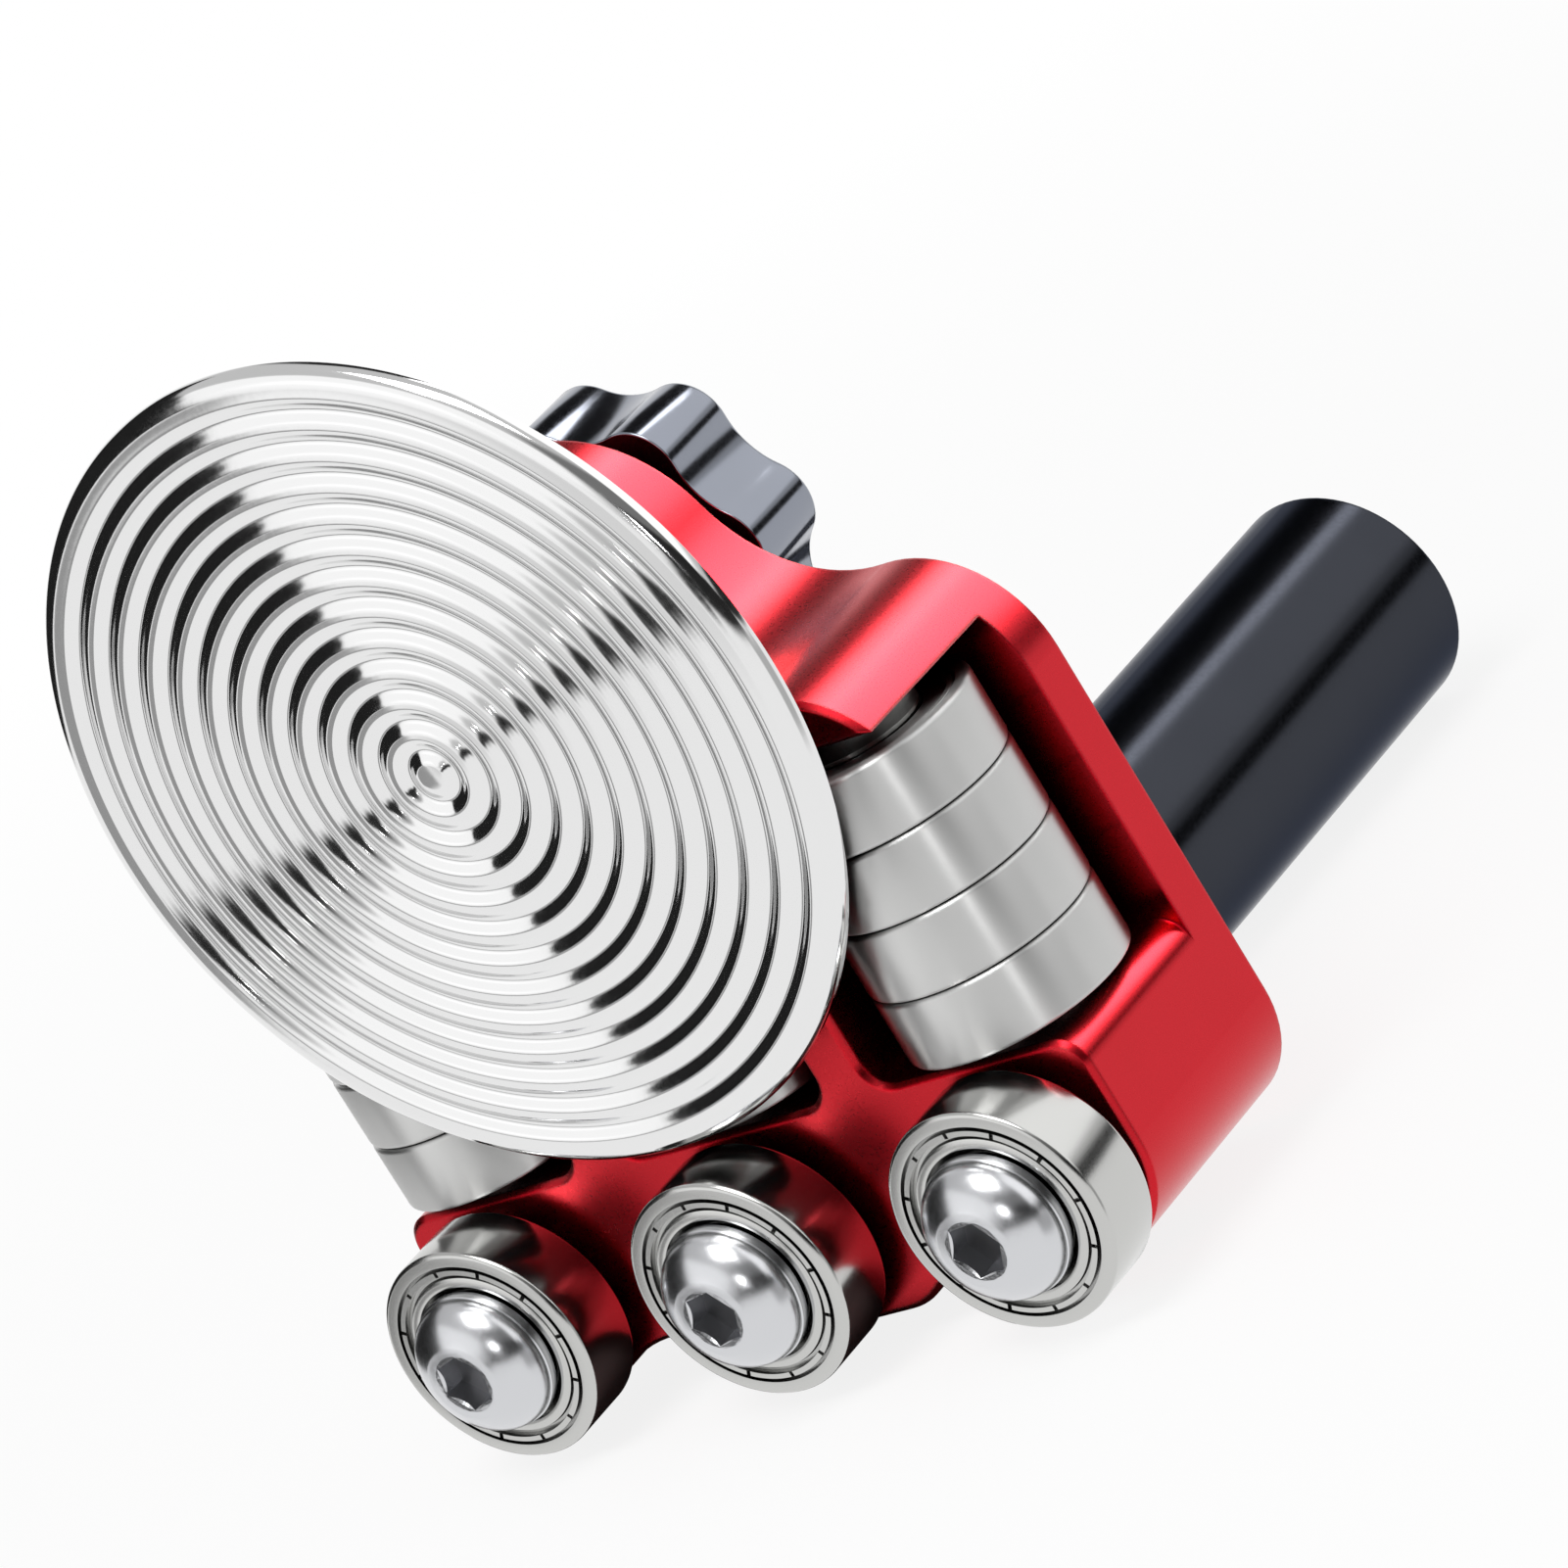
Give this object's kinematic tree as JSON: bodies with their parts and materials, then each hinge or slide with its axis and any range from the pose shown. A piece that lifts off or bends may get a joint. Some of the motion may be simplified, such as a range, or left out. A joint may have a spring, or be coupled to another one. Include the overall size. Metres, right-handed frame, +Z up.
{
  "type": "disc sheet metal bender",
  "caption": "Hand tool that folds a sheet metal edge between a free-turning grooved disc and stacks of roller bearings, with a star knob that sets the gap.",
  "frame": {"origin": "bottom centre of the whole tool, under its handle", "axes": "+X along the row of front bearings, +Y from the disc back along the handle, +Z up from the foot to the disc"},
  "size_m": [0.0848, 0.1236, 0.1063],
  "materials": {
    "red_anodised": "satin anodised, bright red",
    "black_anodised": "gloss anodised, black",
    "polished_disc": "turned and polished steel",
    "bearing_steel": "ground bearing steel",
    "screw_steel": "satin plated steel",
    "plain_steel": "turned steel",
    "bronze": "turned bronze"
  },
  "bodies": {
    "root": {"body_block": "red_anodised", "roller_axles": "plain_steel", "roller_inner_races": "bearing_steel", "stack_top_spacers": "plain_steel", "stack_bottom_washers": "plain_steel", "front_screws": "screw_steel", "front_inner_races": "bearing_steel", "front_spacers": "plain_steel", "spindle_key_screw": "plain_steel", "retaining_ring": "plain_steel", "handle": "black_anodised", "handle_stud": "plain_steel"},
    "spindle": {"disc_spindle": "plain_steel"},
    "disc": {"grooved_disc": "polished_disc", "disc_hub": "plain_steel", "disc_bush": "bronze", "thrust_washer": "bronze"},
    "knob": {"star_knob": "black_anodised", "adjusting_nut": "bronze", "knob_set_screw": "plain_steel"},
    "left_roller_1": {"left_roller_1": "bearing_steel"},
    "left_roller_2": {"left_roller_2": "bearing_steel"},
    "left_roller_3": {"left_roller_3": "bearing_steel"},
    "left_roller_4": {"left_roller_4": "bearing_steel"},
    "middle_roller_1": {"middle_roller_1": "bearing_steel"},
    "middle_roller_2": {"middle_roller_2": "bearing_steel"},
    "middle_roller_3": {"middle_roller_3": "bearing_steel"},
    "middle_roller_4": {"middle_roller_4": "bearing_steel"},
    "right_roller_1": {"right_roller_1": "bearing_steel"},
    "right_roller_2": {"right_roller_2": "bearing_steel"},
    "right_roller_3": {"right_roller_3": "bearing_steel"},
    "right_roller_4": {"right_roller_4": "bearing_steel"},
    "left_front_race": {"left_front_race": "bearing_steel"},
    "middle_front_race": {"middle_front_race": "bearing_steel"},
    "right_front_race": {"right_front_race": "bearing_steel"}
  },
  "joints": [
    {"name": "gap_adjust", "type": "slide", "parent": "root", "child": "spindle", "axis": [0, 1, 0], "range_m": [-0.002, 0.0011]},
    {"name": "knob_turn", "type": "hinge", "parent": "root", "child": "knob", "pos_m": [0, -0.02203, 0.0663], "axis": [0, 1, 0], "range_deg": [-317, 576.2]},
    {"name": "disc_spin", "type": "hinge", "parent": "spindle", "child": "disc", "pos_m": [0, -0.05423, 0.0663], "axis": [0, 1, 0], "continuous": true},
    {"name": "left_roller_1_spin", "type": "hinge", "parent": "root", "child": "left_roller_1", "pos_m": [-0.03145, -0.04063, 0.04965], "axis": [0, 0, 1], "continuous": true},
    {"name": "left_roller_2_spin", "type": "hinge", "parent": "root", "child": "left_roller_2", "pos_m": [-0.03145, -0.04063, 0.04265], "axis": [0, 0, 1], "continuous": true},
    {"name": "left_roller_3_spin", "type": "hinge", "parent": "root", "child": "left_roller_3", "pos_m": [-0.03145, -0.04063, 0.03565], "axis": [0, 0, 1], "continuous": true},
    {"name": "left_roller_4_spin", "type": "hinge", "parent": "root", "child": "left_roller_4", "pos_m": [-0.03145, -0.04063, 0.02865], "axis": [0, 0, 1], "continuous": true},
    {"name": "middle_roller_1_spin", "type": "hinge", "parent": "root", "child": "middle_roller_1", "pos_m": [0, -0.04063, 0.04965], "axis": [0, 0, 1], "continuous": true},
    {"name": "middle_roller_2_spin", "type": "hinge", "parent": "root", "child": "middle_roller_2", "pos_m": [0, -0.04063, 0.04265], "axis": [0, 0, 1], "continuous": true},
    {"name": "middle_roller_3_spin", "type": "hinge", "parent": "root", "child": "middle_roller_3", "pos_m": [0, -0.04063, 0.03565], "axis": [0, 0, 1], "continuous": true},
    {"name": "middle_roller_4_spin", "type": "hinge", "parent": "root", "child": "middle_roller_4", "pos_m": [0, -0.04063, 0.02865], "axis": [0, 0, 1], "continuous": true},
    {"name": "right_roller_1_spin", "type": "hinge", "parent": "root", "child": "right_roller_1", "pos_m": [0.03145, -0.04063, 0.04965], "axis": [0, 0, 1], "continuous": true},
    {"name": "right_roller_2_spin", "type": "hinge", "parent": "root", "child": "right_roller_2", "pos_m": [0.03145, -0.04063, 0.04265], "axis": [0, 0, 1], "continuous": true},
    {"name": "right_roller_3_spin", "type": "hinge", "parent": "root", "child": "right_roller_3", "pos_m": [0.03145, -0.04063, 0.03565], "axis": [0, 0, 1], "continuous": true},
    {"name": "right_roller_4_spin", "type": "hinge", "parent": "root", "child": "right_roller_4", "pos_m": [0.03145, -0.04063, 0.02865], "axis": [0, 0, 1], "continuous": true},
    {"name": "left_front_spin", "type": "hinge", "parent": "root", "child": "left_front_race", "pos_m": [-0.03145, -0.05387, 0.01296], "axis": [0, 1, 0], "continuous": true},
    {"name": "middle_front_spin", "type": "hinge", "parent": "root", "child": "middle_front_race", "pos_m": [0, -0.05387, 0.01296], "axis": [0, 1, 0], "continuous": true},
    {"name": "right_front_spin", "type": "hinge", "parent": "root", "child": "right_front_race", "pos_m": [0.03145, -0.05387, 0.01296], "axis": [0, 1, 0], "continuous": true}
  ],
  "couplings": [
    {"joint": "knob_turn", "follows": "gap_adjust", "rad_per_m": -5026.5}
  ]
}
